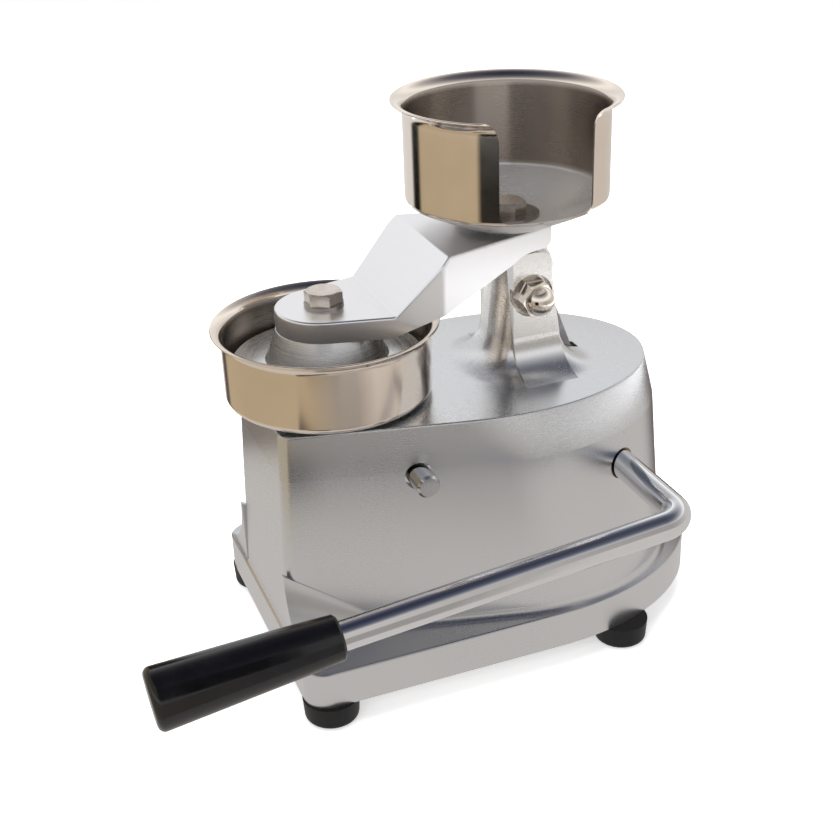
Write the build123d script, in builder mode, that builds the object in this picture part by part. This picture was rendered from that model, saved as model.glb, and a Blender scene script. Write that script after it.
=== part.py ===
from build123d import *
from math import atan2, cos, degrees, radians, sin, sqrt
import os

os.makedirs("parts", exist_ok=True)

# Lever-operated patty press. Millimetres, +Z up, -Y is the operator's side, +X is the lever side.
# It is drawn about the casting's middle plane, X = 0, with the four feet centred on the Z axis.
# Each finished piece is then moved so that the origin is under the middle of the whole machine,
# lever included.

# ---- driving dimensions -------------------------------------------------------------------
PATTY_DIAMETER = 100.0
PATTY_CLEARANCE = 1.6  # the mould's bore is this much larger all round, for the paper
SHEET = 1.2  # wall of the two spun stainless bowls
CASTING_WALL = 5.0
CORNER_RADIUS = 7.0  # front corners of the body
RUNNING = 0.06  # radial clearance of a pin in its bore

FOOT_HEIGHT = 12.6
FOOT_RADIUS = 14.6
FEET_X, FEET_Y = 68.5, 83.0
MIDDLE_X, MIDDLE_Y = 28.0, -14.0  # middle of the whole machine, lever included
FLANGE_TOP = 33.0
FLANGE_HALF = 80.0
FLANGE_FRONT, FLANGE_REAR = -97.0, 152.0
DECK_Z = 146.0
DECK_UNDERSIDE = DECK_Z - CASTING_WALL

MOULD_Y = -52.4  # axis of the mould
MOULD_FLOOR, MOULD_RIM = 147.6, 185.6
HOLDER_Y = 47.5  # axis of the paper holder
HOLDER_FLOOR, HOLDER_RIM = 235.5, 286.6
HOLDER_SLOT_HALF_ANGLE = 29.0

PIVOT_Y, PIVOT_Z = 52.0, 188.0  # the arm's pivot bolt
SHAFT_Y, SHAFT_Z = 84.0, 104.0  # the lever's shaft
ROCKER_Y, ROCKER_Z = -26.0, 119.0  # the cross pin that carries the lifting rocker

OPEN_ANGLE = 65.0  # travel of lever, arm and rocker
ARM_CRANK = 14.0
LIFT_CRANK = 22.0
LIFT_ARM = 28.0  # rocker pivot to roller
LIFT_GAP = 0.7  # roller below the ejector stem at rest

SHAFT_RADIUS = 7.1
LEVER_PLANE_X = 124.5
LEVER_BEND = 12.0
LEVER_SLOPE = 5.4  # degrees below horizontal at rest
LEVER_REACH = 264.2  # shaft axis to the end of the grip
GRIP_LENGTH = 87.0

POST_HALF = 21.0  # over the flat cheeks
POST_CORE = 19.4
POST_FLARE = 20.0
POST_TOP = 210.8
LUG_HALF = 12.0
LINK_HALF = 3.0

# ---- places that follow from them ----------------------------------------------------------
MOULD_INNER = PATTY_DIAMETER / 2 + PATTY_CLEARANCE
half_open = OPEN_ANGLE / 2

# Lever crank, link and arm lug form a parallelogram on the line from shaft to arm pivot.
arm_line = degrees(atan2(PIVOT_Z - SHAFT_Z, PIVOT_Y - SHAFT_Y))
arm_crank_angle = radians(arm_line - 90 + half_open)
LINK_TOP = (PIVOT_Y + ARM_CRANK * cos(arm_crank_angle), PIVOT_Z + ARM_CRANK * sin(arm_crank_angle))
LINK_FOOT = (SHAFT_Y + ARM_CRANK * cos(arm_crank_angle), SHAFT_Z + ARM_CRANK * sin(arm_crank_angle))

# Lift crank, push rod and rocker form a second one on the line from shaft to rocker pivot.
lift_line = degrees(atan2(ROCKER_Z - SHAFT_Z, ROCKER_Y - SHAFT_Y))
lift_crank_angle = radians(lift_line + 90 + half_open)
ROD_REAR = (SHAFT_Y + LIFT_CRANK * cos(lift_crank_angle), SHAFT_Z + LIFT_CRANK * sin(lift_crank_angle))
ROD_FRONT = (ROCKER_Y + LIFT_CRANK * cos(lift_crank_angle), ROCKER_Z + LIFT_CRANK * sin(lift_crank_angle))
ROLLER = (ROCKER_Y - LIFT_ARM * cos(radians(half_open)), ROCKER_Z - LIFT_ARM * sin(radians(half_open)))
ROLLER_RADIUS = 5.0
STEM_FOOT = ROLLER[1] + ROLLER_RADIUS + LIFT_GAP
LIFT_TRAVEL = 2 * LIFT_ARM * sin(radians(half_open))


def finish(name, piece):
    """Move a finished piece to the shared origin, label it and write it to its own file."""
    placed = piece.part.moved(Location((-MIDDLE_X, -MIDDLE_Y, 0)))
    placed.label = name
    export_step(placed, f"parts/{name}.step")


def bar_section(y, z, radius, x):
    """A round section in the plane of a cross shaft, at station x."""
    with BuildSketch(Plane.YZ.offset(x)) as section:
        with Locations((y, z)):
            Circle(radius)
    return section.sketch


def hex_section(y, z, across_flats, x):
    """A hexagon across a cross shaft, at station x."""
    with BuildSketch(Plane.YZ.offset(x)) as section:
        with Locations((y, z)):
            RegularPolygon(across_flats / 2, 6, major_radius=False)
    return section.sketch


def link_section(ends, radii, x):
    """Two round eyes joined by their outer tangents, in the plane of the linkage."""
    with BuildSketch(Plane.YZ.offset(x)) as section:
        for (y, z), radius in zip(ends, radii):
            with Locations((y, z)):
                Circle(radius)
        make_hull()
    return section.sketch


def egg_outline(z, front_half, front_y, slope, wide_half, wide_y, rear_y, corner):
    """Plan outline: straight front, round corners, leaning sides, tangent arcs, elliptical rear."""
    lean = atan2(slope, 1)
    arc_radius = (front_half - wide_half + (wide_y - front_y) * slope) / (1 / cos(lean) - 1)
    tangent_x = wide_half - arc_radius * (1 - cos(lean))
    tangent_y = wide_y - arc_radius * sin(lean)
    with BuildSketch(Plane.XY.offset(z)) as outline:
        with BuildLine():
            FilletPolyline((0, front_y), (front_half, front_y), (tangent_x, tangent_y), radius=corner)
            CenterArc((wide_half - arc_radius, wide_y), arc_radius, -degrees(lean), degrees(lean))
            EllipticalCenterArc((0, wide_y), wide_half, rear_y - wide_y, 0, arc_size=90)
            mirror(about=Plane.YZ)
        make_face()
    return outline.sketch


def shell_sections(inset, top, bottom):
    """The three plan outlines of the housing wall, moved inwards by inset."""
    corner = CORNER_RADIUS - inset
    foot = egg_outline(bottom, 42 - inset, -96 + inset, 0.25, 75.5 - inset, 54, 136 - inset, corner)
    waist = egg_outline(122.0, 40.5 - inset, -91.8 + inset, 0.24, 69.5 - inset, 40, 128.5 - inset, corner)
    deck = egg_outline(top, 40 - inset, -90.5 + inset, 0.235, 65 - inset, 36, 123 - inset, corner)
    return [foot, waist, deck]


def stack(sections):
    """Loft a list of plan sections one pair at a time."""
    for lower, upper in zip(sections[:-1], sections[1:]):
        loft([lower, upper], ruled=True)


def corner_section(side, y, reach):
    """Concave sweep between the wall and the flange, in the plane across the housing at y."""
    root = 41.5 + (y + 95.6) * 0.25
    buried = root - 3
    with BuildSketch(Plane.XZ.offset(-y)) as section:
        with BuildLine():
            Polyline((side * buried, FLANGE_TOP + reach), (side * buried, FLANGE_TOP - 3),
                     (side * (root + reach), FLANGE_TOP - 3), (side * (root + reach), FLANGE_TOP))
            RadiusArc((side * (root + reach), FLANGE_TOP), (side * root, FLANGE_TOP + reach), side * reach)
            Line((side * root, FLANGE_TOP + reach), (side * buried, FLANGE_TOP + reach))
        make_face()
    return section.sketch


LEVEL_TOLERANCE = 1e-4


def edges_at(piece, z):
    """The edges of a piece that lie level at height z."""
    at_height = piece.edges().filter_by_position(Axis.Z, z, z)
    return at_height.filter_by(lambda edge: edge.bounding_box().size.Z < LEVEL_TOLERANCE)


def outline_edges(faces):
    """The edges around a patch of faces, without those between two of them."""
    every_edge = [edge for face in faces for edge in face.edges()]
    return [edge for edge in faces.edges() if sum(edge.is_same(other) for other in every_edge) == 1]


def upright(y, radius, base, top, inner=0.0):
    """Add a vertical round bar, or a tube where an inner radius is given, at x = 0."""
    with BuildSketch(Plane.XY.offset(base)) as section:
        with Locations((0, y)):
            Circle(radius)
            if inner:
                Circle(inner, mode=Mode.SUBTRACT)
    extrude(section.sketch, amount=top - base)


def flange_outline(z, inset=0.0):
    """Plan outline of the foot flange: straight sides, rounded front corners, tapering rear."""
    half = FLANGE_HALF - inset
    with BuildSketch(Plane.XY.offset(z)) as outline:
        with BuildLine():
            Line((0, FLANGE_FRONT + inset), (half - 12, FLANGE_FRONT + inset))
            RadiusArc((half - 12, FLANGE_FRONT + inset), (half, FLANGE_FRONT + 12 + inset), -12)
            Line((half, FLANGE_FRONT + 12 + inset), (half, 42))
            EllipticalCenterArc((0, 42), half, FLANGE_REAR - inset - 42, 0, arc_size=90)
            mirror(about=Plane.YZ)
        make_face()
    return outline.sketch


foot_places = [(x, y) for x in (-FEET_X, FEET_X) for y in (-FEET_Y, FEET_Y)]
mould_screws = 4
mould_screw_circle = 34.0
FOOT_SCREW_RADIUS = 2.5
MOULD_SCREW_RADIUS = 2.0
GUIDE_RADIUS = 8.0
PIVOT_BOLT_RADIUS = 5.0
COUNTERBORE_RADIUS, COUNTERBORE_DEPTH = 11.3, 4.5
BUSH_OUTER = SHAFT_RADIUS + 2.4
PIN_HOLE_RADIUS = 7.3
CROSS_PIN_RADIUS = 6.0
LINK_SLOT = LINK_HALF + 0.8
LUG_EYE = 8.8
GAP_FLOOR = 176.5
BOSS_FACE, BUSH_LENGTH = 44.0, 12.8  # inner face of the two shaft bosses, and the bush in each

# ---- housing -------------------------------------------------------------------------------
# What stays hollow inside the casting: bosses and lugs are left out of it.
with BuildPart() as hollow:
    stack(shell_sections(CASTING_WALL, DECK_UNDERSIDE, 10.0))
    extrude(flange_outline(FOOT_HEIGHT - 1, 6.0), amount=FLANGE_TOP - 6.0 - FOOT_HEIGHT + 1)
    for side in (-1, 1):
        extrude(bar_section(SHAFT_Y, SHAFT_Z, 14.0, side * BOSS_FACE), amount=side * 40, mode=Mode.SUBTRACT)
        lug = link_section([(ROCKER_Y, ROCKER_Z), (ROCKER_Y, DECK_Z)], (11.0, 13.0), side * 15.0)
        extrude(lug, amount=side * 6.0, mode=Mode.SUBTRACT)
    with BuildSketch(Plane.XY.offset(FOOT_HEIGHT - 1)) as foot_bosses:
        with Locations(*foot_places):
            Circle(6.5)
    extrude(foot_bosses.sketch, amount=FLANGE_TOP, mode=Mode.SUBTRACT)

# Concave sweeps at the front corners, kept within the flange.
with BuildPart() as corner_sweeps:
    for side in (-1, 1):
        loft([corner_section(side, -95.6, 37.0), corner_section(side, -50.0, 8.0)])
    extrude(flange_outline(FOOT_HEIGHT, 1.0), amount=80, mode=Mode.INTERSECT)

# The post that carries the arm: a rounded column between two flat cheeks that run out over
# its flare, domed about the pivot so that the arm can swing.
POST_CROWN = POST_TOP - PIVOT_Z
COLUMN_NOSE = 8.0  # depth of the rounded front
CHEEK_FRONT = 41.4
FLARE_SWEEP = 84.0


def post_outline(z, front, back):
    """Plan outline of the column: elliptical front, flat sides, rounded rear corners."""
    with BuildSketch(Plane.XY.offset(z)) as outline:
        with BuildLine():
            EllipticalCenterArc((0, front + COLUMN_NOSE), POST_CORE, COLUMN_NOSE, 270, arc_size=90)
            Line((POST_CORE, front + COLUMN_NOSE), (POST_CORE, back - 4))
            RadiusArc((POST_CORE, back - 4), (POST_CORE - 4, back), -4)
            Line((POST_CORE - 4, back), (0, back))
            mirror(about=Plane.YZ)
        make_face()
    return outline.sketch


with BuildPart() as post:
    post_levels = [(DECK_Z - 3, 33.4, 73.0), (186.0, 38.4, 66.6), (POST_TOP, 40.0, 64.0)]
    stack([post_outline(*level) for level in post_levels])
with BuildPart() as cheeks:
    flare_centre = POST_HALF + POST_FLARE
    flare_edge = flare_centre - POST_FLARE * cos(radians(FLARE_SWEEP))
    flare_height = DECK_Z + POST_FLARE * (1 - sin(radians(FLARE_SWEEP)))
    with BuildSketch(Plane.XZ.offset(-CHEEK_FRONT)) as cheek_front:
        with BuildLine():
            Line((0, POST_TOP), (POST_HALF, POST_TOP))
            Line((POST_HALF, POST_TOP), (POST_HALF, DECK_Z + POST_FLARE))
            CenterArc((flare_centre, DECK_Z + POST_FLARE), POST_FLARE, 180, FLARE_SWEEP)
            Polyline((flare_edge, flare_height), (flare_edge, DECK_Z - 3), (0, DECK_Z - 3))
            mirror(about=Plane.YZ)
        make_face()
    extrude(cheek_front.sketch, amount=-40)
    with BuildSketch(Plane.YZ.offset(-60)) as cheek_side:
        with BuildLine():
            Polyline((CHEEK_FRONT - 3, DECK_Z - 3), (CHEEK_FRONT, DECK_Z + 14), (CHEEK_FRONT, POST_TOP),
                     (61.8, POST_TOP), (64.6, 186.0), (70.2, DECK_Z - 3), close=True)
        make_face()
    extrude(cheek_side.sketch, amount=120, mode=Mode.INTERSECT)
with BuildPart() as crown:
    with BuildSketch(Plane.YZ.offset(-60)) as crown_side:
        with Locations((PIVOT_Y, PIVOT_Z)):
            Circle(POST_CROWN)
        with Locations((PIVOT_Y, PIVOT_Z - 40)):
            Rectangle(120, 80)
    extrude(crown_side.sketch, amount=120)

with BuildPart() as housing:
    extrude(flange_outline(FOOT_HEIGHT), amount=FLANGE_TOP - FOOT_HEIGHT)
    fillet(housing.edges().group_by(Axis.Z)[-1], 1.2)
    stack(shell_sections(0, DECK_Z, 20.0))
    fillet(housing.edges().group_by(Axis.Z)[-1], 1.0)
    add(post.part & crown.part)
    fillet(edges_at(housing, DECK_Z), POST_FLARE)
    add(cheeks.part & crown.part)
    fillet(edges_at(housing, FLANGE_TOP), 4.0)
    add(corner_sweeps.part)
    upright(MOULD_Y, 40.0, DECK_Z - 1, MOULD_FLOOR)
    add(hollow.part, mode=Mode.SUBTRACT)
    # Room for the arm's lug between two cheeks, and for the link below it.
    with BuildSketch(Plane.YZ.offset(-LUG_HALF - 0.5)) as cheek_gap:
        with Locations((PIVOT_Y, PIVOT_Z)):
            Circle(LUG_EYE + 0.5)
        with BuildLine():
            Polyline((PIVOT_Y - LUG_EYE - 0.4, 230), (PIVOT_Y - LUG_EYE - 0.4, PIVOT_Z),
                     (PIVOT_Y - 2, GAP_FLOOR), (100, GAP_FLOOR), (100, 230), close=True)
        make_face()
    extrude(cheek_gap.sketch, amount=2 * LUG_HALF + 1, mode=Mode.SUBTRACT)
    with BuildSketch(Plane.YZ.offset(-LINK_SLOT)) as link_slot:
        with BuildLine():
            Polyline((62, 182), (76, 134), (92.6, 134), (74.4, 182), close=True)
        make_face()
    extrude(link_slot.sketch, amount=2 * LINK_SLOT, mode=Mode.SUBTRACT)
    # Bores along X: pivot bolt with a counterbore in each cheek, shaft bushes, cross pin.
    extrude(bar_section(PIVOT_Y, PIVOT_Z, PIVOT_BOLT_RADIUS + 0.1, -40), amount=80, mode=Mode.SUBTRACT)
    for side in (-1, 1):
        extrude(bar_section(PIVOT_Y, PIVOT_Z, COUNTERBORE_RADIUS, side * (POST_HALF - COUNTERBORE_DEPTH)),
                amount=side * 20, mode=Mode.SUBTRACT)
    for side in (-1, 1):
        extrude(bar_section(SHAFT_Y, SHAFT_Z, BUSH_OUTER, side * (BOSS_FACE - 1)),
                amount=side * (BUSH_LENGTH + 1), mode=Mode.SUBTRACT)
    extrude(bar_section(SHAFT_Y, SHAFT_Z, SHAFT_RADIUS + 0.9, BOSS_FACE), amount=60, mode=Mode.SUBTRACT)
    extrude(bar_section(ROCKER_Y, ROCKER_Z, CROSS_PIN_RADIUS + 0.05, -25), amount=60, mode=Mode.SUBTRACT)
    extrude(bar_section(ROCKER_Y, ROCKER_Z, PIN_HOLE_RADIUS, 30), amount=60, mode=Mode.SUBTRACT)
    # Upright bores: guide bush, bowl screws, foot screws.
    with BuildSketch(Plane.XY.offset(DECK_UNDERSIDE - 2)) as deck_holes:
        with Locations((0, MOULD_Y)):
            Circle(GUIDE_RADIUS)
            with PolarLocations(mould_screw_circle, mould_screws, 45):
                Circle(MOULD_SCREW_RADIUS)
    extrude(deck_holes.sketch, amount=20, mode=Mode.SUBTRACT)
    with BuildSketch(Plane.XY.offset(FOOT_HEIGHT)) as foot_holes:
        with Locations(*foot_places):
            Circle(FOOT_SCREW_RADIUS)
    extrude(foot_holes.sketch, amount=12, mode=Mode.SUBTRACT)
finish("housing", housing)

# ---- feet ----------------------------------------------------------------------------------
with BuildPart() as feet:
    with Locations(*[(x, y, 0) for x, y in foot_places]):
        Cone(FOOT_RADIUS - 0.8, FOOT_RADIUS, FOOT_HEIGHT, align=(Align.CENTER, Align.CENTER, Align.MIN))
    fillet(feet.edges().filter_by(GeomType.CIRCLE).group_by(Axis.Z)[0], 3.0)
    with Locations(*[(x, y, 0) for x, y in foot_places]):
        Cylinder(6.0, 8.0, align=(Align.CENTER, Align.CENTER, Align.MIN), mode=Mode.SUBTRACT)
        Cylinder(FOOT_SCREW_RADIUS + 0.1, FOOT_HEIGHT, align=(Align.CENTER, Align.CENTER, Align.MIN),
                 mode=Mode.SUBTRACT)
finish("feet", feet)

with BuildPart() as foot_washers:
    with Locations(*[(x, y, 8.0) for x, y in foot_places]):
        Cylinder(5.5, 1.0, align=(Align.CENTER, Align.CENTER, Align.MAX))
        Cylinder(FOOT_SCREW_RADIUS + 0.1, 1.0, align=(Align.CENTER, Align.CENTER, Align.MAX),
                 mode=Mode.SUBTRACT)
finish("foot_washers", foot_washers)

with BuildPart() as foot_screws:
    with Locations(*[(x, y, 7.0) for x, y in foot_places]):
        Cylinder(4.5, 2.6, align=(Align.CENTER, Align.CENTER, Align.MAX))
        Cylinder(FOOT_SCREW_RADIUS, FOOT_HEIGHT + 4.0, align=(Align.CENTER, Align.CENTER, Align.MIN))
    with Locations(*[(x, y, 4.4) for x, y in foot_places]):
        Cylinder(1.6, 1.4, align=(Align.CENTER, Align.CENTER, Align.MIN), mode=Mode.SUBTRACT)
finish("foot_screws", foot_screws)


def bowl_profile(floor_z, rim_z, wall_radius, lip_radius, y, hole):
    """Half section of a spun bowl: flat floor, small corner, straight wall and a flared lip."""
    corner = 3.0
    with BuildSketch(Plane.YZ) as section:
        with BuildLine() as middle:
            FilletPolyline((hole, floor_z + SHEET / 2), (wall_radius, floor_z + SHEET / 2),
                           (wall_radius, rim_z - 6.5), radius=corner)
            TangentArc((wall_radius, rim_z - 6.5), (lip_radius - SHEET / 2, rim_z - SHEET / 2),
                       tangent=(0, 1))
            offset(middle.edges(), SHEET / 2)
        make_face()
    return section.sketch.moved(Location((0, y, 0)))


# ---- mould ---------------------------------------------------------------------------------
with BuildPart() as mould_bowl:
    mould_half = bowl_profile(MOULD_FLOOR, MOULD_RIM, MOULD_INNER + SHEET / 2, 57.5, MOULD_Y,
                              GUIDE_RADIUS + 1.0)
    revolve(mould_half, axis=Axis((0, MOULD_Y, 0), (0, 0, 1)))
    with BuildSketch(Plane.XY.offset(MOULD_FLOOR - 1)) as screw_holes:
        with Locations((0, MOULD_Y)):
            with PolarLocations(mould_screw_circle, mould_screws, 45):
                Circle(MOULD_SCREW_RADIUS + 0.2)
    extrude(screw_holes.sketch, amount=4, mode=Mode.SUBTRACT)
finish("mould_bowl", mould_bowl)

MOULD_BED = MOULD_FLOOR + SHEET
with BuildPart() as mould_screws_set:
    with BuildSketch(Plane.XY.offset(MOULD_BED)) as heads:
        with Locations((0, MOULD_Y)):
            with PolarLocations(mould_screw_circle, mould_screws, 45):
                Circle(3.8)
    extrude(heads.sketch, amount=2.2)
    fillet(mould_screws_set.edges().group_by(Axis.Z)[-1], 0.8)
    with BuildSketch(Plane.XY.offset(MOULD_BED)) as shanks:
        with Locations((0, MOULD_Y)):
            with PolarLocations(mould_screw_circle, mould_screws, 45):
                Circle(MOULD_SCREW_RADIUS)
    extrude(shanks.sketch, amount=-9.0)
    with BuildSketch(Plane.XY.offset(MOULD_BED + 2.2)) as sockets:
        with Locations((0, MOULD_Y)):
            with PolarLocations(mould_screw_circle, mould_screws, 45):
                RegularPolygon(1.25, 6, major_radius=False)
    extrude(sockets.sketch, amount=-1.2, mode=Mode.SUBTRACT)
finish("mould_screws", mould_screws_set)

STEM_RADIUS = 6.0
GUIDE_TOP = MOULD_BED + 2.6
with BuildPart() as guide_bush:
    upright(MOULD_Y, GUIDE_RADIUS, DECK_UNDERSIDE - 0.8, GUIDE_TOP)
    upright(MOULD_Y, 13.0, MOULD_BED, GUIDE_TOP)
    with Locations((0, MOULD_Y, 0)):
        Cylinder(STEM_RADIUS + RUNNING, 400, mode=Mode.SUBTRACT)
finish("guide_bush", guide_bush)

# ---- ejector -------------------------------------------------------------------------------
PLATE_TOP = GUIDE_TOP + 3.2
with BuildPart() as ejector_plate:
    upright(MOULD_Y, MOULD_INNER - 0.8, GUIDE_TOP + 0.2, PLATE_TOP)
    chamfer(ejector_plate.edges().group_by(Axis.Z)[-1], 0.5)
    with Locations((0, MOULD_Y, PLATE_TOP)):
        CounterSinkHole(2.55, 5.2)
finish("ejector_plate", ejector_plate)

with BuildPart() as ejector_stem:
    upright(MOULD_Y, STEM_RADIUS, STEM_FOOT, GUIDE_TOP + 0.2)
    chamfer(ejector_stem.edges().group_by(Axis.Z)[0], 0.6)
    with Locations((0, MOULD_Y, GUIDE_TOP + 0.2)):
        Hole(2.5, depth=13.0)
finish("ejector_stem", ejector_stem)

with BuildPart() as ejector_screw:
    with BuildSketch(Plane.YZ) as screw_half:
        with BuildLine():
            Polyline((0, PLATE_TOP - 0.1), (5.0, PLATE_TOP - 0.1), (2.45, PLATE_TOP - 2.7),
                     (2.45, GUIDE_TOP - 11), (0, GUIDE_TOP - 11), close=True)
        make_face()
    revolve(screw_half.sketch.moved(Location((0, MOULD_Y, 0))), axis=Axis((0, MOULD_Y, 0), (0, 0, 1)))
    with BuildSketch(Plane.XY.offset(PLATE_TOP - 0.1)) as screw_socket:
        with Locations((0, MOULD_Y)):
            RegularPolygon(1.5, 6, major_radius=False)
    extrude(screw_socket.sketch, amount=-1.6, mode=Mode.SUBTRACT)
finish("ejector_screw", ejector_screw)

# ---- lever ---------------------------------------------------------------------------------
lever_dir = (0, -cos(radians(LEVER_SLOPE)), -sin(radians(LEVER_SLOPE)))


def along_lever(distance):
    """A point on the straight run of the lever, measured from the shaft axis."""
    return (LEVER_PLANE_X, SHAFT_Y + distance * lever_dir[1], SHAFT_Z + distance * lever_dir[2])


SHAFT_LEFT = -55.0
CRANK_STATIONS = (-7.0, 7.0)
CRANK_HALF = 3.0
BAR_SHORT = 10.0  # the bar stops this far inside the grip
ROLL_PIN_RADIUS = 1.5
lever_plane = Plane(origin=(0, SHAFT_Y, SHAFT_Z), x_dir=(1, 0, 0), z_dir=(0, lever_dir[2], -lever_dir[1]))
with BuildPart() as lever_bar:
    with BuildLine(lever_plane) as lever_path:
        FilletPolyline((SHAFT_LEFT, 0), (LEVER_PLANE_X, 0), (LEVER_PLANE_X, BAR_SHORT - LEVER_REACH),
                       radius=LEVER_BEND)
    with BuildSketch(Plane.YZ.offset(SHAFT_LEFT)) as lever_round:
        with Locations((SHAFT_Y, SHAFT_Z)):
            Circle(SHAFT_RADIUS)
    sweep(lever_round.sketch, path=lever_path.wires()[0])
    chamfer(lever_bar.edges().group_by(Axis.X)[0], 1.0)
    with Locations(*[(x, SHAFT_Y, SHAFT_Z) for x in CRANK_STATIONS]):
        Cylinder(ROLL_PIN_RADIUS, 40, mode=Mode.SUBTRACT)
finish("lever_bar", lever_bar)

GRIP_START = LEVER_REACH - GRIP_LENGTH
GRIP_END_RADIUS = 14.6


def grip_point(distance, radius):
    """A point of the grip's half section in the lever's own plane."""
    return (LEVER_PLANE_X + radius, -GRIP_START - distance)


with BuildPart() as grip:
    with BuildSketch(lever_plane) as grip_half:
        with BuildLine():
            Polyline(grip_point(0, SHAFT_RADIUS), grip_point(0, 9.8), grip_point(1.2, 10.8),
                     grip_point(20, 11.9), grip_point(GRIP_LENGTH - 4, GRIP_END_RADIUS))
            ThreePointArc(grip_point(GRIP_LENGTH - 4, GRIP_END_RADIUS),
                          grip_point(GRIP_LENGTH - 1, GRIP_END_RADIUS - 1.2),
                          grip_point(GRIP_LENGTH - 0.2, GRIP_END_RADIUS - 3.7))
            Polyline(grip_point(GRIP_LENGTH - 0.2, GRIP_END_RADIUS - 3.7), grip_point(GRIP_LENGTH, 0),
                     grip_point(GRIP_LENGTH - BAR_SHORT, 0),
                     grip_point(GRIP_LENGTH - BAR_SHORT, SHAFT_RADIUS), grip_point(0, SHAFT_RADIUS))
        make_face()
    revolve(grip_half.sketch, axis=Axis(along_lever(0), lever_dir))
finish("grip", grip)

for side, name in ((1, "shaft_bush_right"), (-1, "shaft_bush_left")):
    with BuildPart() as bush:
        extrude(bar_section(SHAFT_Y, SHAFT_Z, BUSH_OUTER, side * BOSS_FACE), amount=side * BUSH_LENGTH)
        extrude(bar_section(SHAFT_Y, SHAFT_Z, BUSH_OUTER + 3, side * BOSS_FACE), amount=-side * 1.6)
        extrude(bar_section(SHAFT_Y, SHAFT_Z, SHAFT_RADIUS + RUNNING, -60), amount=120, mode=Mode.SUBTRACT)
    finish(name, bush)

with BuildPart() as shaft_collars:
    for side in (-1, 1):
        start = side * (BOSS_FACE - 2.2)
        extrude(bar_section(SHAFT_Y, SHAFT_Z, 11.5, start), amount=-side * 6.0)
        extrude(bar_section(SHAFT_Y, SHAFT_Z, SHAFT_RADIUS + 0.02, start), amount=-side * 6.0,
                mode=Mode.SUBTRACT)
finish("shaft_collars", shaft_collars)


def crank(name, far_end, eye_radius, pin_radius, station):
    """A crank plate on the lever's shaft, cross-drilled for its roll pin."""
    start = station - CRANK_HALF
    with BuildPart() as plate:
        outline = link_section([(SHAFT_Y, SHAFT_Z), far_end], (12.0, eye_radius), start)
        extrude(outline, amount=2 * CRANK_HALF)
        extrude(bar_section(SHAFT_Y, SHAFT_Z, SHAFT_RADIUS + 0.02, start), amount=2 * CRANK_HALF,
                mode=Mode.SUBTRACT)
        extrude(bar_section(*far_end, pin_radius + 0.02, start), amount=2 * CRANK_HALF, mode=Mode.SUBTRACT)
        with Locations((station, SHAFT_Y, SHAFT_Z)):
            Cylinder(ROLL_PIN_RADIUS, 80, mode=Mode.SUBTRACT)
    finish(name, plate)


def cross_pin(name, place, radius, start, end, head_radius=0.0):
    """A plain pin along X with chamfered ends, and a thin head at its start if one is given."""
    with BuildPart() as pin:
        extrude(bar_section(*place, radius, start), amount=end - start)
        chamfer(pin.edges().filter_by(GeomType.CIRCLE), min(1.2, radius / 5))
        if head_radius:
            extrude(bar_section(*place, head_radius, start), amount=1.2 if end > start else -1.2)
    finish(name, pin)


EYE_PIN_RADIUS = 3.0
EYE_RADIUS = 5.5
crank("arm_crank", LINK_FOOT, 7.0, EYE_PIN_RADIUS, CRANK_STATIONS[1])
crank("lift_crank", ROD_REAR, 7.0, EYE_PIN_RADIUS, CRANK_STATIONS[0])
cross_pin("arm_crank_pin", LINK_FOOT, EYE_PIN_RADIUS, -3.6, 10.0)
cross_pin("lift_crank_pin", ROD_REAR, EYE_PIN_RADIUS, 4.8, -10.0, 4.4)
with BuildPart() as crank_roll_pins:
    with Locations(*[(x, SHAFT_Y, SHAFT_Z) for x in CRANK_STATIONS]):
        Cylinder(ROLL_PIN_RADIUS - 0.02, 21.0)
finish("crank_roll_pins", crank_roll_pins)


def strap(name, ends, waist):
    """A flat link of a given half width with a running eye at each end."""
    with BuildPart() as link:
        extrude(link_section(ends, (waist, waist), -LINK_HALF), amount=2 * LINK_HALF)
        for end in ends:
            extrude(bar_section(*end, EYE_RADIUS, -LINK_HALF), amount=2 * LINK_HALF)
        for end in ends:
            extrude(bar_section(*end, EYE_PIN_RADIUS + RUNNING, -LINK_HALF), amount=2 * LINK_HALF,
                    mode=Mode.SUBTRACT)
    finish(name, link)


strap("arm_link", [LINK_FOOT, LINK_TOP], 3.5)
strap("push_rod", [ROD_REAR, ROD_FRONT], 4.0)

# ---- lifting rocker ------------------------------------------------------------------------
ROCKER_PLATE = (6.6, 10.4)  # inner and outer faces of each side plate
with BuildPart() as lift_rocker:
    for side in (-1, 1):
        for place, radius in ((ROLLER, 5.0), (ROD_FRONT, 6.0)):
            cheek = link_section([(ROCKER_Y, ROCKER_Z), place], (10.0, radius), side * ROCKER_PLATE[0])
            extrude(cheek, amount=side * (ROCKER_PLATE[1] - ROCKER_PLATE[0]))
    extrude(bar_section(ROCKER_Y, ROCKER_Z, 10.0, -14.6), amount=29.2)
    extrude(bar_section(ROCKER_Y, ROCKER_Z, CROSS_PIN_RADIUS + RUNNING, -20), amount=40, mode=Mode.SUBTRACT)
    extrude(bar_section(*ROLLER, 2.52, -20), amount=40, mode=Mode.SUBTRACT)
    extrude(bar_section(*ROD_FRONT, EYE_PIN_RADIUS + 0.02, -20), amount=40, mode=Mode.SUBTRACT)
finish("lift_rocker", lift_rocker)

cross_pin("roller_pin", ROLLER, 2.5, -11.2, 11.2)
cross_pin("rocker_rod_pin", ROD_FRONT, EYE_PIN_RADIUS, -11.2, 11.2)
with BuildPart() as lift_roller:
    extrude(bar_section(*ROLLER, ROLLER_RADIUS, -6.0), amount=12.0)
    fillet(lift_roller.edges().filter_by(GeomType.CIRCLE), 0.6)
    extrude(bar_section(*ROLLER, 2.5 + RUNNING, -10), amount=20, mode=Mode.SUBTRACT)
finish("lift_roller", lift_roller)

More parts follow.
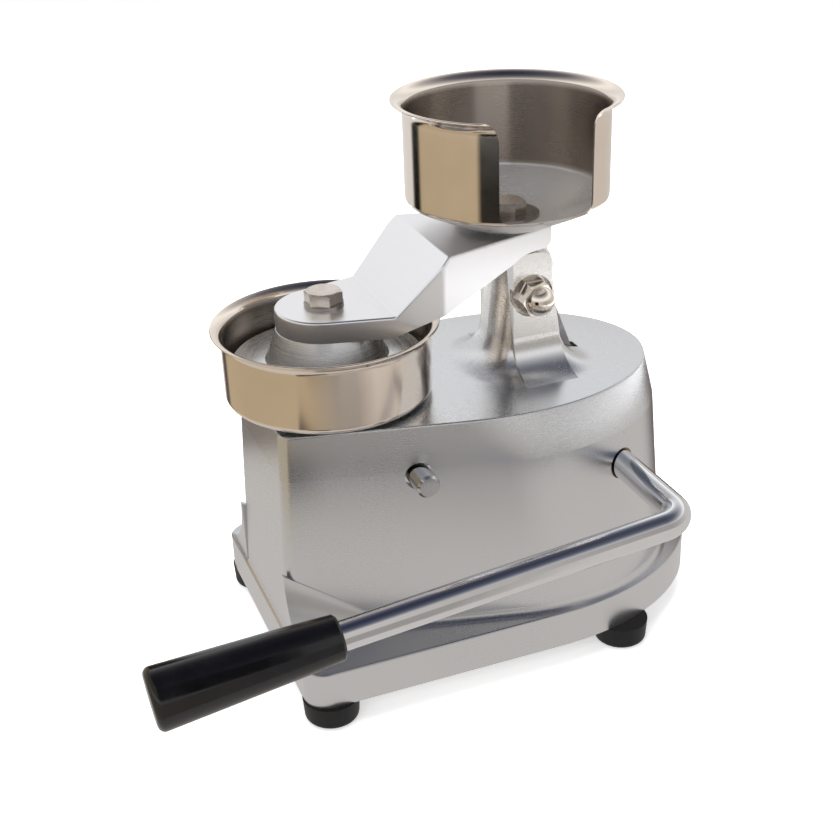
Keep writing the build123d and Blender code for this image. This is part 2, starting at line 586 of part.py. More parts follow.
CROSS_PIN_END = 69.0
cross_pin("cross_pin", (ROCKER_Y, ROCKER_Z), CROSS_PIN_RADIUS, -24.5, CROSS_PIN_END)
with BuildPart() as cross_pin_clips:
    for start in (-22.6, 21.4):
        extrude(bar_section(ROCKER_Y, ROCKER_Z, 9.0, start), amount=1.2)
    extrude(bar_section(ROCKER_Y, ROCKER_Z, CROSS_PIN_RADIUS + 0.02, -30), amount=60, mode=Mode.SUBTRACT)
finish("cross_pin_clips", cross_pin_clips)

# ---- press arm -----------------------------------------------------------------------------
TONGUE_UNDER, TONGUE_TOP = 183.4, 194.2
ARM_TOP, ARM_REAR = 222.2, 65.0
TONGUE_RADIUS, ARM_WIDEST, ARM_NARROWEST = 24.8, 37.6, 17.5
HEAD_BOLT_RADIUS = 4.9
PIVOT_BUSH_OUTER = 6.0

with BuildPart() as press_arm:
    with BuildSketch(Plane.YZ.offset(-50)) as arm_side:
        with BuildLine():
            FilletPolyline((-90, TONGUE_TOP), (-26.4, TONGUE_TOP), (0.4, ARM_TOP), (ARM_REAR, ARM_TOP),
                           radius=2.0)
            Line((ARM_REAR, ARM_TOP), (ARM_REAR, POST_TOP + 6))
            RadiusArc((ARM_REAR, POST_TOP + 6), (ARM_REAR - 5.4, POST_TOP + 0.6), 5.4)
            Polyline((ARM_REAR - 5.4, POST_TOP + 0.6), (PIVOT_Y, POST_TOP + 0.6), (39.4, 207.8),
                     (-1.6, 193.5), (-28.0, TONGUE_UNDER), (-90, TONGUE_UNDER), (-90, TONGUE_TOP))
        make_face()
    extrude(arm_side.sketch, amount=100)
    extrude(bar_section(PIVOT_Y, PIVOT_Z, POST_CROWN + 0.6, -50), amount=100, mode=Mode.SUBTRACT)
    with BuildSketch(Plane.XY.offset(170)) as arm_plan:
        with Locations((0, MOULD_Y)):
            Circle(TONGUE_RADIUS)
        with Locations((ARM_WIDEST - 4, -3), (4 - ARM_WIDEST, -3)):
            Circle(4.0)
        with Locations((ARM_NARROWEST - 2, ARM_REAR - 2), (2 - ARM_NARROWEST, ARM_REAR - 2)):
            Circle(2.0)
        make_hull()
    extrude(arm_plan.sketch, amount=80, mode=Mode.INTERSECT)
    upper_faces = press_arm.faces().filter_by(lambda face: face.normal_at().Z > 0.3)
    fillet(outline_edges(upper_faces), 1.2)
    # The lug that hangs between the cheeks, forked for the link.
    with BuildSketch(Plane.YZ.offset(-LUG_HALF)) as lug_side:
        with Locations((PIVOT_Y, PIVOT_Z)):
            Circle(LUG_EYE)
        with Locations(LINK_TOP):
            Circle(7.8)
        with Locations((PIVOT_Y + 2, POST_TOP)):
            Rectangle(17.6, 5.0)
        make_hull()
    extrude(lug_side.sketch, amount=2 * LUG_HALF)
    with BuildSketch(Plane.YZ.offset(-LINK_HALF - 0.7)) as fork:
        with BuildLine():
            Polyline((PIVOT_Y, 170), (80, 170), (80, LINK_TOP[1] + 6.3), (PIVOT_Y, LINK_TOP[1] + 6.3),
                     close=True)
        make_face()
        with Locations((PIVOT_Y, PIVOT_Z)):
            Circle(PIVOT_BUSH_OUTER + 0.2, mode=Mode.SUBTRACT)
    extrude(fork.sketch, amount=2 * LINK_HALF + 1.4, mode=Mode.SUBTRACT)
    extrude(bar_section(PIVOT_Y, PIVOT_Z, PIVOT_BUSH_OUTER, -20), amount=40, mode=Mode.SUBTRACT)
    extrude(bar_section(*LINK_TOP, EYE_PIN_RADIUS + 0.02, -20), amount=40, mode=Mode.SUBTRACT)
    with Locations((0, MOULD_Y, TONGUE_TOP)):
        Hole(HEAD_BOLT_RADIUS + 0.1, depth=20)
    with Locations((0, HOLDER_Y, ARM_TOP)):
        Hole(HEAD_BOLT_RADIUS, depth=9.0)
finish("press_arm", press_arm)

with BuildPart() as arm_bush:
    extrude(bar_section(PIVOT_Y, PIVOT_Z, PIVOT_BUSH_OUTER, -LUG_HALF), amount=2 * LUG_HALF)
    extrude(bar_section(PIVOT_Y, PIVOT_Z, PIVOT_BOLT_RADIUS + RUNNING, -LUG_HALF), amount=2 * LUG_HALF,
            mode=Mode.SUBTRACT)
finish("arm_bush", arm_bush)
cross_pin("link_pin", LINK_TOP, EYE_PIN_RADIUS, -LUG_HALF, LUG_HALF)

HEAD_RADIUS = MOULD_INNER - 3.0
with BuildPart() as press_head:
    with BuildSketch(Plane.YZ) as head_half:
        with BuildLine():
            Polyline((0, 160.8), (HEAD_RADIUS - 0.8, 160.8), (HEAD_RADIUS, 161.6), (HEAD_RADIUS, 166.0),
                     (HEAD_RADIUS - 0.8, 166.8), (30.6, 166.8), (25.0, TONGUE_UNDER), (0, TONGUE_UNDER),
                     close=True)
        make_face()
    revolve(head_half.sketch.moved(Location((0, MOULD_Y, 0))), axis=Axis((0, MOULD_Y, 0), (0, 0, 1)))
    neck_root = press_head.edges().filter_by(GeomType.CIRCLE).group_by(Axis.Z)[-2]
    neck_root = neck_root.sort_by(SortBy.RADIUS)[0]
    fillet(neck_root, 1.2)
    with Locations((0, MOULD_Y, TONGUE_UNDER)):
        Hole(HEAD_BOLT_RADIUS, depth=14.0)
finish("press_head", press_head)


def hex_bolt(name, y, seat, tip):
    """An M10 hexagon bolt standing head up at x = 0, with a chamfered head."""
    with BuildPart() as bolt:
        with BuildSketch(Plane.XY.offset(seat)) as head:
            with Locations((0, y)):
                RegularPolygon(8.5, 6, major_radius=False)
        extrude(head.sketch, amount=6.4)
        with BuildSketch(Plane.YZ) as turned:
            with BuildLine():
                Polyline((0, seat), (10.5, seat), (10.5, seat + 5.1), (8.2, seat + 6.4), (0, seat + 6.4),
                         close=True)
            make_face()
        revolve(turned.sketch.moved(Location((0, y, 0))), axis=Axis((0, y, 0), (0, 0, 1)),
                mode=Mode.INTERSECT)
        upright(y, HEAD_BOLT_RADIUS, tip, seat)
    finish(name, bolt)


def washer(name, y, radius, base, thickness):
    """A plain washer lying flat at x = 0."""
    with BuildPart() as ring:
        upright(y, radius, base, base + thickness, inner=HEAD_BOLT_RADIUS + 0.3)
    finish(name, ring)


washer("head_washer", MOULD_Y, 10.0, TONGUE_TOP, 1.4)
hex_bolt("head_bolt", MOULD_Y, TONGUE_TOP + 1.4, TONGUE_UNDER - 13.0)

# ---- paper holder --------------------------------------------------------------------------
HOLDER_SEAT = ARM_TOP + 2.2
HOLDER_WALL = 51.0
SLOT_FOOT = HOLDER_FLOOR + 1.4
SLOT_FLARE = 12.0  # the slot's top corners round out into the lip
with BuildPart() as paper_holder:
    with BuildSketch(Plane.YZ) as holder_half:
        with BuildLine() as holder_line:
            FilletPolyline((HEAD_BOLT_RADIUS + 1.0, HOLDER_SEAT + SHEET / 2),
                           (27.0, HOLDER_SEAT + SHEET / 2), (HOLDER_WALL, HOLDER_FLOOR + 1.1),
                           (HOLDER_WALL, HOLDER_RIM - 7.0), radius=2.5)
            TangentArc((HOLDER_WALL, HOLDER_RIM - 7.0), (57.5 - SHEET / 2, HOLDER_RIM - SHEET / 2),
                       tangent=(0, 1))
            offset(holder_line.edges(), SHEET / 2)
        make_face()
    revolve(holder_half.sketch.moved(Location((0, HOLDER_Y, 0))), axis=Axis((0, HOLDER_Y, 0), (0, 0, 1)))
    slot_half = HOLDER_WALL * sin(radians(HOLDER_SLOT_HALF_ANGLE))
    slot_plane = Plane(origin=(30, HOLDER_Y, 0), x_dir=(0, 1, 0), z_dir=(1, 0, 0))
    with BuildSketch(slot_plane) as slot:
        with BuildLine():
            Line((0, SLOT_FOOT), (slot_half - 5, SLOT_FOOT))
            TangentArc((slot_half - 5, SLOT_FOOT), (slot_half, SLOT_FOOT + 5), tangent=(1, 0))
            flare_foot = HOLDER_RIM + 1 - SLOT_FLARE
            Line((slot_half, SLOT_FOOT + 5), (slot_half, flare_foot))
            TangentArc((slot_half, flare_foot), (slot_half + SLOT_FLARE, HOLDER_RIM + 1), tangent=(0, 1))
            Line((slot_half + SLOT_FLARE, HOLDER_RIM + 1), (0, HOLDER_RIM + 1))
            mirror(about=Plane.YZ)
        make_face()
    extrude(slot.sketch, amount=40, mode=Mode.SUBTRACT)
finish("paper_holder", paper_holder)

washer("holder_spacer", HOLDER_Y, 15.0, ARM_TOP, HOLDER_SEAT - ARM_TOP)
washer("holder_washer", HOLDER_Y, 16.5, HOLDER_SEAT + SHEET, 1.4)
hex_bolt("holder_bolt", HOLDER_Y, HOLDER_SEAT + SHEET + 1.4, ARM_TOP - 8.4)

# ---- pivot bolt ----------------------------------------------------------------------------
BOLT_SEAT = POST_HALF - COUNTERBORE_DEPTH
with BuildPart() as pivot_bolt:
    extrude(bar_section(PIVOT_Y, PIVOT_Z, PIVOT_BOLT_RADIUS, -BOLT_SEAT), amount=BOLT_SEAT + 28.0)
    extrude(hex_section(PIVOT_Y, PIVOT_Z, 17.0, -BOLT_SEAT), amount=-6.4)
finish("pivot_bolt", pivot_bolt)

with BuildPart() as pivot_washer:
    extrude(bar_section(PIVOT_Y, PIVOT_Z, 10.3, BOLT_SEAT), amount=1.2)
    extrude(bar_section(PIVOT_Y, PIVOT_Z, PIVOT_BOLT_RADIUS + 0.2, BOLT_SEAT), amount=1.2,
            mode=Mode.SUBTRACT)
finish("pivot_washer", pivot_washer)

NUT_START = BOLT_SEAT + 1.2
with BuildPart() as lock_nut:
    extrude(hex_section(PIVOT_Y, PIVOT_Z, 17.0, NUT_START), amount=5.2)
    chamfer(lock_nut.edges().group_by(Axis.X)[-1], 0.5)
    extrude(bar_section(PIVOT_Y, PIVOT_Z, PIVOT_BOLT_RADIUS, NUT_START), amount=6, mode=Mode.SUBTRACT)
finish("lock_nut", lock_nut)

ACORN_START = NUT_START + 5.2
DOME_RADIUS = 7.7
with BuildPart() as acorn_nut:
    extrude(hex_section(PIVOT_Y, PIVOT_Z, 16.0, ACORN_START), amount=6.6)
    dome_plane = Plane(origin=(ACORN_START + 6.0, PIVOT_Y, PIVOT_Z), x_dir=(1, 0, 0), z_dir=(0, 1, 0))
    with BuildSketch(dome_plane) as dome:
        Circle(DOME_RADIUS)
        with Locations((-DOME_RADIUS, 0)):
            Rectangle(2 * DOME_RADIUS, 4 * DOME_RADIUS, mode=Mode.SUBTRACT)
        with Locations((0, DOME_RADIUS)):
            Rectangle(4 * DOME_RADIUS, 2 * DOME_RADIUS, mode=Mode.SUBTRACT)
    revolve(dome.sketch, axis=Axis((0, PIVOT_Y, PIVOT_Z), (1, 0, 0)))
    extrude(bar_section(PIVOT_Y, PIVOT_Z, PIVOT_BOLT_RADIUS, ACORN_START), amount=7.0, mode=Mode.SUBTRACT)
finish("acorn_nut", acorn_nut)
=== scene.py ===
import math

import bmesh
import bpy
from mathutils import Matrix, Vector


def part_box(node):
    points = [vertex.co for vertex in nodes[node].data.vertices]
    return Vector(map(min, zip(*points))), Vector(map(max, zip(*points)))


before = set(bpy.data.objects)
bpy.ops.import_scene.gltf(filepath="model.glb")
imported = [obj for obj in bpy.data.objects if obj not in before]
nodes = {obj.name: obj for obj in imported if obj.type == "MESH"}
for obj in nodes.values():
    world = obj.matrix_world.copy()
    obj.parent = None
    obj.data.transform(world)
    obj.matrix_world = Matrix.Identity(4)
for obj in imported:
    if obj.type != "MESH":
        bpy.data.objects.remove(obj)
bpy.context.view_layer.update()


def middle(name):
    """The (x, y) middle of a node's box."""
    low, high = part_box(name)
    return ((low[0] + high[0]) / 2, (low[1] + high[1]) / 2)


# Metres, in the frame's own axes.
MOULD_AXIS = middle("head_washer")
HOLDER_AXIS = middle("holder_washer")
CASTING = Vector((*middle("feet"), 0.0))  # on the floor, midway between the four feet
MOULD_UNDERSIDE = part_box("mould_bowl")[0][2]
MOULD_INSIDE = 0.0522  # a radius within the sheet of the wall: nearer the axis is inside
MOULD_FLOOR = 0.148
HOLDER_INSIDE = 0.0510
HOLDER_FLOOR = 0.236
PANEL_SPLIT = 0.110  # the low panels end and the high ones begin at this height
NICKEL_BROWN = (0.40, 0.37, 0.345)


# ---- node helpers ---------------------------------------------------------------------------
def fill_ramp(node, stops):
    """Gives a colour ramp node its (position, colour) stops."""
    elements = node.color_ramp.elements
    while len(elements) < len(stops):
        elements.new(0.5)
    for element, (position, colour) in zip(elements, stops):
        element.position = position
        element.color = (*colour, 1.0)


def scaled(colour, factors):
    """A colour times one factor for each channel."""
    return tuple(channel * factor for channel, factor in zip(colour, factors))


class Surface:
    """A Principled material and short ways to add nodes to it."""

    def __init__(self, name, **constants):
        self.material = bpy.data.materials.new(name)
        self.material.use_nodes = True
        self.tree = self.material.node_tree
        self.shader = self.tree.nodes["Principled BSDF"]
        for socket, value in constants.items():
            self.shader.inputs[socket.replace("_", " ")].default_value = value
        self.place = self.add("ShaderNodeTexCoord").outputs["Object"]

    def add(self, kind, inputs=None, **settings):
        node = self.tree.nodes.new(kind)
        for key, value in settings.items():
            setattr(node, key, value)
        for key, value in (inputs or {}).items():
            if isinstance(value, bpy.types.NodeSocket):
                self.tree.links.new(value, node.inputs[key])
            else:
                node.inputs[key].default_value = value
        return node

    def stretched(self, scale):
        return self.add("ShaderNodeMapping", {"Vector": self.place, "Scale": scale}).outputs[0]

    def height(self):
        return self.add("ShaderNodeSeparateXYZ", {0: self.place}).outputs["Z"]

    def noise(self, scale, detail=4.0, rough=0.55, vector=None):
        node = self.add("ShaderNodeTexNoise", {"Vector": vector or self.place, "Scale": scale,
                                               "Detail": detail, "Roughness": rough})
        return node.outputs["Fac"]

    def ramp(self, source, stops):
        node = self.add("ShaderNodeValToRGB", {"Fac": source})
        fill_ramp(node, stops)
        return node.outputs["Color"]

    def span(self, source, low, high, start=0.3, end=0.7):
        node = self.add("ShaderNodeMapRange", {"Value": source, "From Min": start, "From Max": end,
                                               "To Min": low, "To Max": high})
        return node.outputs["Result"]

    def math(self, operation, first, second):
        return self.add("ShaderNodeMath", {0: first, 1: second}, operation=operation).outputs[0]

    def mix(self, factor, first, second, blend="MIX"):
        node = self.add("ShaderNodeMix", data_type="RGBA", blend_type=blend)
        for index, value in ((0, factor), (6, first), (7, second)):
            if isinstance(value, bpy.types.NodeSocket):
                self.tree.links.new(value, node.inputs[index])
            else:
                node.inputs[index].default_value = value if index == 0 else (*value, 1.0)
        return node.outputs[2]

    def bump(self, layers, edge=0.0):
        """Stacks bump layers (height, strength, distance), over a rounded-edge normal if edge is given."""
        normal = self.add("ShaderNodeBevel", {"Radius": edge}, samples=4).outputs[0] if edge else None
        for height, strength, distance in layers:
            inputs = {"Height": height, "Strength": strength, "Distance": distance}
            if normal is not None:
                inputs["Normal"] = normal
            normal = self.add("ShaderNodeBump", inputs).outputs[0]
        self.set("Normal", normal)

    def set(self, socket, source):
        self.tree.links.new(source, self.shader.inputs[socket])

    def around(self, axis):
        """Makes the brushing run round a vertical axis at (x, y)."""
        ring = self.add("ShaderNodeVectorMath", {0: (0, 0, 1), 1: self.offset(axis)},
                        operation="CROSS_PRODUCT")
        world = self.add("ShaderNodeVectorTransform", {"Vector": ring.outputs[0]}, vector_type="VECTOR",
                         convert_from="OBJECT", convert_to="WORLD")
        self.set("Tangent", world.outputs[0])

    def offset(self, axis):
        """Place measured from a vertical axis at (x, y)."""
        node = self.add("ShaderNodeVectorMath", {0: self.place, 1: (*axis, 0.0)}, operation="SUBTRACT")
        return node.outputs[0]

    def radius(self, axis):
        """Distance from a vertical axis."""
        flat = self.add("ShaderNodeVectorMath", {0: self.offset(axis), 1: (1, 1, 0)},
                        operation="MULTIPLY")
        return self.add("ShaderNodeVectorMath", {0: flat.outputs[0]}, operation="LENGTH").outputs["Value"]

    def rings(self, axis, pitch):
        """Fine turning marks round a vertical axis: a value that changes with radius and height only."""
        line = self.add("ShaderNodeCombineXYZ", {"X": self.radius(axis), "Y": self.height(), "Z": 0.0})
        return self.noise(1.0 / pitch, 3.0, 0.6, line.outputs[0])


# ---- materials ------------------------------------------------------------------------------
def cast_metal(name, colour, rough, brush, upper_painted_highlight=None):
    """Satin aluminium casting: fine brush marks, a blasted grain and faint cloudy patches.

    brush is about how many marks a metre holds along x, y and z. upper is a painted highlight:
    the lighter colour it reaches a little above the mould's underside, where that differs.
    """
    s = Surface(name, Metallic=1.0)
    cloud = s.noise(9.0, 3.0, 0.5)
    grain = s.noise(2600.0, 2.0, 0.6)
    streak = s.noise(1.0, 3.0, 0.65, s.stretched(brush))
    tone = s.mix(s.span(cloud, 0.0, 1.0), (0.955, 0.955, 0.955), (1, 1, 1))
    tone = s.mix(s.span(streak, 0.0, 0.2), tone, (0.92, 0.92, 0.92))
    base = colour
    # Painted highlight: the casting turns to a lighter colour a little above the mould's underside.
    if upper_painted_highlight:
        base = s.mix(s.span(s.height(), 0.0, 1.0, MOULD_UNDERSIDE, MOULD_UNDERSIDE + 0.02), colour, upper_painted_highlight)
    s.set("Base Color", s.mix(1.0, base, tone, "MULTIPLY"))
    worn = s.math("ADD", s.span(cloud, rough - 0.02, rough + 0.02), s.span(streak, -0.01, 0.01))
    s.set("Roughness", worn)
    s.bump([(streak, 0.003, 0.00003), (grain, 0.015, 0.00002)])
    return s.material


def spun_steel(name, axis, inner_radius, floor_z):
    """Polished spun stainless: a bright outside tinted with a painted warm reflection, a darker and silkier
    inside whose darkness is painted shade, and a paler satin floor painted as a highlight.
    """
    s = Surface(name, Anisotropic=0.92, Anisotropic_Rotation=0.25)
    rings = s.rings(axis, 0.00045)
    broad = s.rings(axis, 0.009)
    smear = s.noise(38.0, 3.0, 0.5)
    inside = s.math("LESS_THAN", s.radius(axis), inner_radius)
    # Painted reflection: the warm beige of the outside stands in for warm surroundings seen in the polished
    # steel.
    outer_painted_warm_reflection = s.mix(s.span(smear, 0.0, 1.0), (0.80, 0.71, 0.62), (0.85, 0.76, 0.67))
    # Painted shade: the inside wall is a darker tone where shade falls inside the bowl; its slight variation
    # follows the turning marks.
    inner_painted_shade_and_floor_highlight = s.mix(s.span(rings, 0.0, 1.0), (0.40, 0.35, 0.305), (0.44, 0.39, 0.345))
    # Painted highlight: the floor inside the bowl is given a paler tone that stands in for the light it
    # catches; the same floor is also made less metallic.
    low = s.span(s.height(), 1.0, 0.0, floor_z + 0.001, floor_z + 0.004)
    inner_painted_shade_and_floor_highlight = s.mix(low, inner_painted_shade_and_floor_highlight, (0.64, 0.62, 0.60))
    satin = s.math("MULTIPLY", s.math("MULTIPLY", low, inside), 0.25)
    s.set("Metallic", s.math("SUBTRACT", 1.0, satin))
    s.set("Base Color", s.mix(inside, outer_painted_warm_reflection, inner_painted_shade_and_floor_highlight))
    worn = s.math("ADD", s.span(rings, 0.10, 0.115), s.span(smear, 0.0, 0.02))
    s.set("Roughness", s.math("ADD", worn, s.math("MULTIPLY", inside, 0.16)))
    s.around(axis)
    s.bump([(rings, 0.003, 0.00001), (broad, 0.012, 0.00005)])
    return s.material


def turned_metal(name, axis, colour, rough, pitch=0.0005):
    """A lathe-turned face or cone, with visible tool rings and a silky sheen round the axis."""
    s = Surface(name, Metallic=1.0, Anisotropic=0.85, Anisotropic_Rotation=0.25)
    rings = s.rings(axis, pitch)
    smear = s.noise(60.0, 3.0, 0.5)
    s.set("Base Color", s.mix(s.span(rings, 0.0, 1.0), scaled(colour, (0.88, 0.88, 0.88)), colour))
    worn = s.span(rings, rough - 0.05, rough + 0.05)
    s.set("Roughness", s.math("ADD", worn, s.span(smear, 0.0, 0.06)))
    s.around(axis)
    s.bump([(rings, 0.08, 0.00002)], 0.0003)
    return s.material


def bright_metal(name, colour, rough, blotch=1.0, scratch=(400, 400, 400), edge=0.00025, metal=1.0):
    """Plated or ground steel: thin scratches, slight blotches of tarnish and softened edges.

    scratch is about how many marks a metre holds along x, y and z.
    """
    s = Surface(name, Metallic=metal)
    tarnish = s.noise(140.0, 4.0, 0.6)
    scratches = s.noise(1.0, 2.0, 0.7, s.stretched(scratch))
    dulled = scaled(colour, (0.80, 0.76, 0.70))
    s.set("Base Color", s.mix(s.span(tarnish, 0.0, 0.6 * blotch), colour, dulled))
    worn = s.span(tarnish, rough, rough + 0.10 * blotch)
    s.set("Roughness", s.math("ADD", worn, s.span(scratches, 0.0, 0.05)))
    s.bump([(scratches, 0.08, 0.00003), (s.noise(900.0, 2.0), 0.05, 0.00003)], edge)
    return s.material


def moulded(name, colour, lift, rough, grain_scale, grain, shine=0.5, edge=0.0003):
    """Rubber or plastic: moulded skin with a fine grain, faint dust and handling marks."""
    s = Surface(name, Specular_IOR_Level=shine)
    dust = s.noise(55.0, 5.0, 0.6)
    skin = s.noise(grain_scale, 3.0, 0.6)
    s.set("Base Color", s.mix(s.span(dust, 0.0, 1.0, 0.45, 0.8), colour, lift))
    worn = s.span(dust, rough, rough + 0.14, 0.4, 0.8)
    s.set("Roughness", s.math("ADD", worn, s.span(skin, -0.02, 0.03)))
    s.bump([(skin, grain, 0.00006)], edge)
    return s.material


# ---- which node wears what ------------------------------------------------------------------
looks = {
    # The housing's lighter colour above the mould's underside is a painted highlight.
    "housing": cast_metal("body_metal", (0.70, 0.71, 0.73), 0.28, brush=(260, 260, 1500),
                          upper_painted_highlight=(0.84, 0.83, 0.81)),
    "press_arm": cast_metal("arm_metal", (0.91, 0.91, 0.92), 0.30, brush=(60, 700, 700)),
    "mould_bowl": spun_steel("mould_steel", MOULD_AXIS, MOULD_INSIDE, MOULD_FLOOR),
    "paper_holder": spun_steel("holder_steel", HOLDER_AXIS, HOLDER_INSIDE, HOLDER_FLOOR),
    "press_head": turned_metal("head_metal", MOULD_AXIS, (0.80, 0.80, 0.80), 0.24),
    "ejector_plate": turned_metal("plate_metal", MOULD_AXIS, (0.74, 0.74, 0.74), 0.28, pitch=0.0008),
    "holder_spacer": turned_metal("spacer_metal", HOLDER_AXIS, (0.72, 0.72, 0.72), 0.30),
    "holder_washer": turned_metal("holder_washer_metal", HOLDER_AXIS, NICKEL_BROWN, 0.26),
    "head_washer": turned_metal("head_washer_metal", MOULD_AXIS, NICKEL_BROWN, 0.26),
    "lever_bar": bright_metal("bar_chrome", (0.80, 0.81, 0.84), 0.05, blotch=0.3,
                              scratch=(900, 60, 900), edge=0.0002),
    "acorn_nut": bright_metal("acorn_chrome", (0.86, 0.80, 0.71), 0.07, blotch=0.4),
    "grip": moulded("grip_plastic", (0.003, 0.003, 0.004), (0.006, 0.006, 0.007), 0.13,
                    grain_scale=420.0, grain=0.05, shine=0.55),
    "feet": moulded("foot_rubber", (0.005, 0.005, 0.006), (0.014, 0.014, 0.014), 0.46,
                    grain_scale=900.0, grain=0.25, shine=0.3),
    "lift_roller": moulded("roller_nylon", (0.74, 0.71, 0.63), (0.80, 0.78, 0.72), 0.42,
                           grain_scale=500.0, grain=0.10),
}
nickel = bright_metal("nickel", (0.62, 0.57, 0.52), 0.16, metal=0.9)
zinc = bright_metal("zinc", (0.62, 0.63, 0.65), 0.30)
ground = bright_metal("ground_steel", (0.54, 0.54, 0.56), 0.09, blotch=0.5, scratch=(900, 60, 60))
plate = bright_metal("rolled_plate", (0.46, 0.46, 0.47), 0.38, scratch=(80, 700, 80))
bronze = bright_metal("sintered_bronze", (0.62, 0.42, 0.22), 0.36, blotch=1.2)
shared = {
    nickel: ("head_bolt", "holder_bolt", "pivot_bolt", "lock_nut", "pivot_washer", "ejector_screw"),
    zinc: ("foot_screws", "foot_washers", "mould_screws", "shaft_collars"),
    ground: ("cross_pin", "cross_pin_clips", "arm_crank_pin", "lift_crank_pin", "crank_roll_pins",
             "link_pin", "roller_pin", "rocker_rod_pin", "ejector_stem"),
    plate: ("arm_crank", "lift_crank", "arm_link", "push_rod", "lift_rocker"),
    bronze: ("guide_bush", "arm_bush", "shaft_bush_right", "shaft_bush_left"),
}
for material, names in shared.items():
    looks.update({name: material for name in names})
for name, piece in nodes.items():
    piece.data.materials.clear()
    piece.data.materials.append(looks[name])


# ---- stage ----------------------------------------------------------------------------------
def card(name, size, place, aim, strength, colour):
    """A soft rectangular light that polished surfaces don't show; place and aim are from the casting."""
    light = bpy.data.lights.new(name, "AREA")
    light.shape, light.size, light.size_y = "RECTANGLE", *size
    light.energy, light.color = strength, colour
    lamp = bpy.data.objects.new(name, light)
    bpy.context.scene.collection.objects.link(lamp)
    lamp.location = CASTING + Vector(place)
    lamp.visible_glossy = False
    lamp.rotation_mode = "QUATERNION"
    lamp.rotation_quaternion = (Vector(aim) - Vector(place)).to_track_quat("-Z", "Y")


card("overhead", (0.9, 0.9), (-0.1, -0.1, 1.5), (0, 0, 0.1), 16.0, (1.0, 0.995, 0.985))
card("key", (0.7, 0.9), (0.9, -1.1, 1.0), (0, 0, 0.12), 12.0, (1.0, 0.99, 0.975))
card("back", (1.2, 0.6), (-1.1, 0.6, 0.9), (0, 0, 0.15), 12.0, (1.0, 0.99, 0.98))

# The room's colour by the sine of the angle above the horizon. 0 is level and all below it; the top is dark.
SKY_STOPS = [
    (0.0, (0.88, 0.88, 0.89)), (0.26, (0.80, 0.80, 0.81)), (0.42, (1.0, 1.0, 1.0)),
    (0.48, (1.0, 1.0, 1.0)), (0.66, (0.46, 0.465, 0.48)), (0.84, (0.13, 0.135, 0.17)),
    (1.0, (0.03, 0.034, 0.06))]
SKY_STRENGTH = 1.08

world = bpy.data.worlds.new("studio")
bpy.context.scene.world = world
world.use_nodes = True
sky = world.node_tree
direction = sky.nodes.new("ShaderNodeTexCoord").outputs["Generated"]
split = sky.nodes.new("ShaderNodeSeparateXYZ")
sky.links.new(direction, split.inputs[0])
heights = sky.nodes.new("ShaderNodeValToRGB")
sky.links.new(split.outputs["Z"], heights.inputs["Fac"])
fill_ramp(heights, SKY_STOPS)
sky.links.new(heights.outputs["Color"], sky.nodes["Background"].inputs["Color"])
sky.nodes["Background"].inputs["Strength"].default_value = SKY_STRENGTH


def linear(level):
    """Display tones, 0 to 255, as linear light."""
    return tuple((value / 255) ** 2.2 for value in level)


def glow(name):
    """A surface that only gives out light."""
    s = Surface(name, Roughness=1.0, Emission_Strength=1.0, Specular_IOR_Level=0.0)
    s.shader.inputs["Base Color"].default_value = (0, 0, 0, 1)
    return s


def panel_ring(name, centre, radius, low, high, bands, floor_tone=None):
    """Upright panels round a vertical axis that only reflections see; bands are (degrees, tone)."""
    shape = bmesh.new()
    steps = 96
    turns = [math.tau * i / steps for i in range(steps)]
    around = [(radius * math.cos(turn), radius * math.sin(turn)) for turn in turns]
    foot = [shape.verts.new((x, y, low)) for x, y in around]
    head = [shape.verts.new((x, y, high)) for x, y in around]
    for i in range(steps):
        j = (i + 1) % steps
        shape.faces.new((foot[i], foot[j], head[j], head[i]))
    if floor_tone:
        shape.faces.new(foot).material_index = 1
    mesh = bpy.data.meshes.new(name)
    shape.to_mesh(mesh)
    shape.free()
    ring = bpy.data.objects.new(name, mesh)
    ring.location = (*centre, 0.0)
    bpy.context.scene.collection.objects.link(ring)
    for sight in ("visible_camera", "visible_diffuse", "visible_shadow", "visible_transmission"):
        setattr(ring, sight, False)
    s = glow(name)
    place = s.add("ShaderNodeSeparateXYZ", {0: s.place})
    turn = s.math("ARCTAN2", place.outputs["Y"], place.outputs["X"])
    part = s.span(turn, 0.0, 1.0, -math.pi, math.pi)
    stops = [((degrees + 180) / 360, linear(tone)) for degrees, tone in bands]
    s.set("Emission Color", s.ramp(part, stops))
    mesh.materials.append(s.material)
    if floor_tone:
        under = glow(name + "_floor")
        under.shader.inputs["Emission Color"].default_value = (*linear(floor_tone), 1.0)
        mesh.materials.append(under.material)


# What the polished bowls reflect: a beige wall in front, pale cards, and dark edges between.
# Tones are display levels from 0 to 255.
WHITE, PALE, GREY = (230, 230, 230), (210, 205, 200), (165, 160, 155)
BEIGE, BROWN, BLACK = (190, 175, 150), (90, 80, 75), (25, 25, 25)

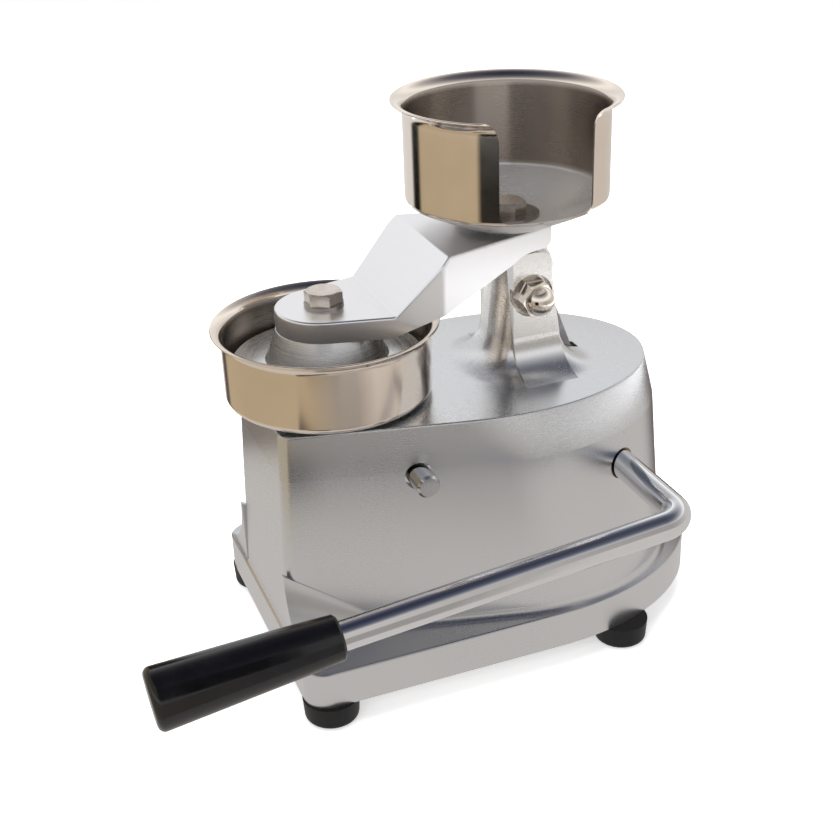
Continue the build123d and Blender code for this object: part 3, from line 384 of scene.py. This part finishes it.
panel_ring("low_panels", MOULD_AXIS, radius=0.26, low=0.001, high=PANEL_SPLIT, bands=[
    (-180, WHITE), (-165, WHITE), (-160, BROWN), (-150, BROWN), (-145, BEIGE), (-35, BEIGE), (-10, GREY),
    (10, GREY), (30, PALE), (85, PALE), (95, BROWN), (115, BROWN), (130, PALE), (180, WHITE)],
    floor_tone=PALE)
panel_ring("high_panels", HOLDER_AXIS, radius=0.29, low=PANEL_SPLIT, high=0.235, bands=[
    (-180, WHITE), (-145, WHITE), (-140, BLACK), (-130, BLACK), (-125, BEIGE), (-55, BEIGE), (-50, BLACK),
    (-30, BLACK), (-25, PALE), (20, GREY), (70, PALE), (150, PALE), (180, WHITE)])

FLOOR_HALF = 12.0
floor_mesh = bpy.data.meshes.new("floor")
ground_shape = bmesh.new()
bmesh.ops.create_grid(ground_shape, x_segments=1, y_segments=1, size=FLOOR_HALF)
ground_shape.to_mesh(floor_mesh)
ground_shape.free()
floor = bpy.data.objects.new("floor", floor_mesh)
bpy.context.scene.collection.objects.link(floor)
paper = Surface("floor_paper", Roughness=0.65, Emission_Strength=0.44)
paper.shader.inputs["Emission Color"].default_value = (1, 1, 1, 1)
paper.set("Base Color", paper.mix(paper.noise(30.0), (0.90, 0.90, 0.90), (0.93, 0.93, 0.93)))
floor_mesh.materials.append(paper.material)

# ---- camera ---------------------------------------------------------------------------------
CAMERA_PLACE = Vector((0.6046, -0.2321, 0.4449))  # from the casting, as is the aim
CAMERA_AIM = Vector((0.0, -0.0049, 0.120))
CAMERA_ROLL = math.radians(-2.1)

camera = bpy.data.objects.new("camera", bpy.data.cameras.new("camera"))
bpy.context.scene.collection.objects.link(camera)
bpy.context.scene.camera = camera
camera.data.sensor_width = 36.0
camera.data.lens = 58.33
camera.data.shift_x = 0.0026
camera.data.shift_y = -0.0006
camera.data.clip_start = 0.01
camera.location = CASTING + CAMERA_PLACE
camera.rotation_mode = "QUATERNION"
roll = Matrix.Rotation(CAMERA_ROLL, 4, "Z").to_quaternion()
camera.rotation_quaternion = (CAMERA_AIM - CAMERA_PLACE).to_track_quat("-Z", "Y") @ roll

bpy.context.scene.view_settings.view_transform = "Standard"
